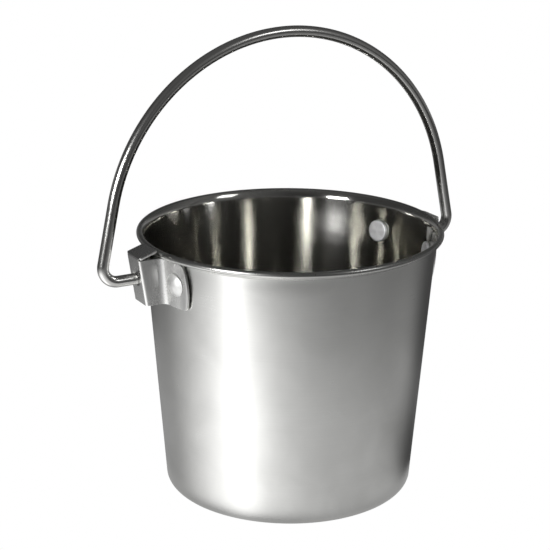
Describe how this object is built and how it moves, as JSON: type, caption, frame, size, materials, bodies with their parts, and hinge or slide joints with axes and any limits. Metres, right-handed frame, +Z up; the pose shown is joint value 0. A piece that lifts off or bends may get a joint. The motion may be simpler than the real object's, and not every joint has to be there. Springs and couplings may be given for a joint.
{
  "type": "feed bucket",
  "caption": "Small tapered metal pail with a rolled rim and a wire bail that swings in riveted sheet-metal ears.",
  "frame": {"origin": "centre of the base, on the table", "axes": "+Z up, +X along the bail's pivot axis towards the right ear, +Y across it to the rear"},
  "size_m": [0.2176, 0.1652, 0.2529],
  "materials": {
    "body_steel": "satin outside with a fine horizontal grain, bright polished inside",
    "bail_steel": "polished wire",
    "ear_steel": "tumbled, semi-bright",
    "rivet_steel": "matte, hammered outside"
  },
  "bodies": {
    "bucket": {"bucket_body": "body_steel", "bail_ear_left": "ear_steel", "bail_ear_right": "ear_steel", "rivet_left_front": "rivet_steel", "rivet_left_rear": "rivet_steel", "rivet_right_front": "rivet_steel", "rivet_right_rear": "rivet_steel"},
    "bail": {"bail_handle": "bail_steel"}
  },
  "joints": [
    {"name": "bail_swing", "type": "hinge", "parent": "bucket", "child": "bail", "pos_m": [0, 0, 0.129], "axis": [1, 0, 0], "range_deg": [-142.4, 142.4]}
  ]
}
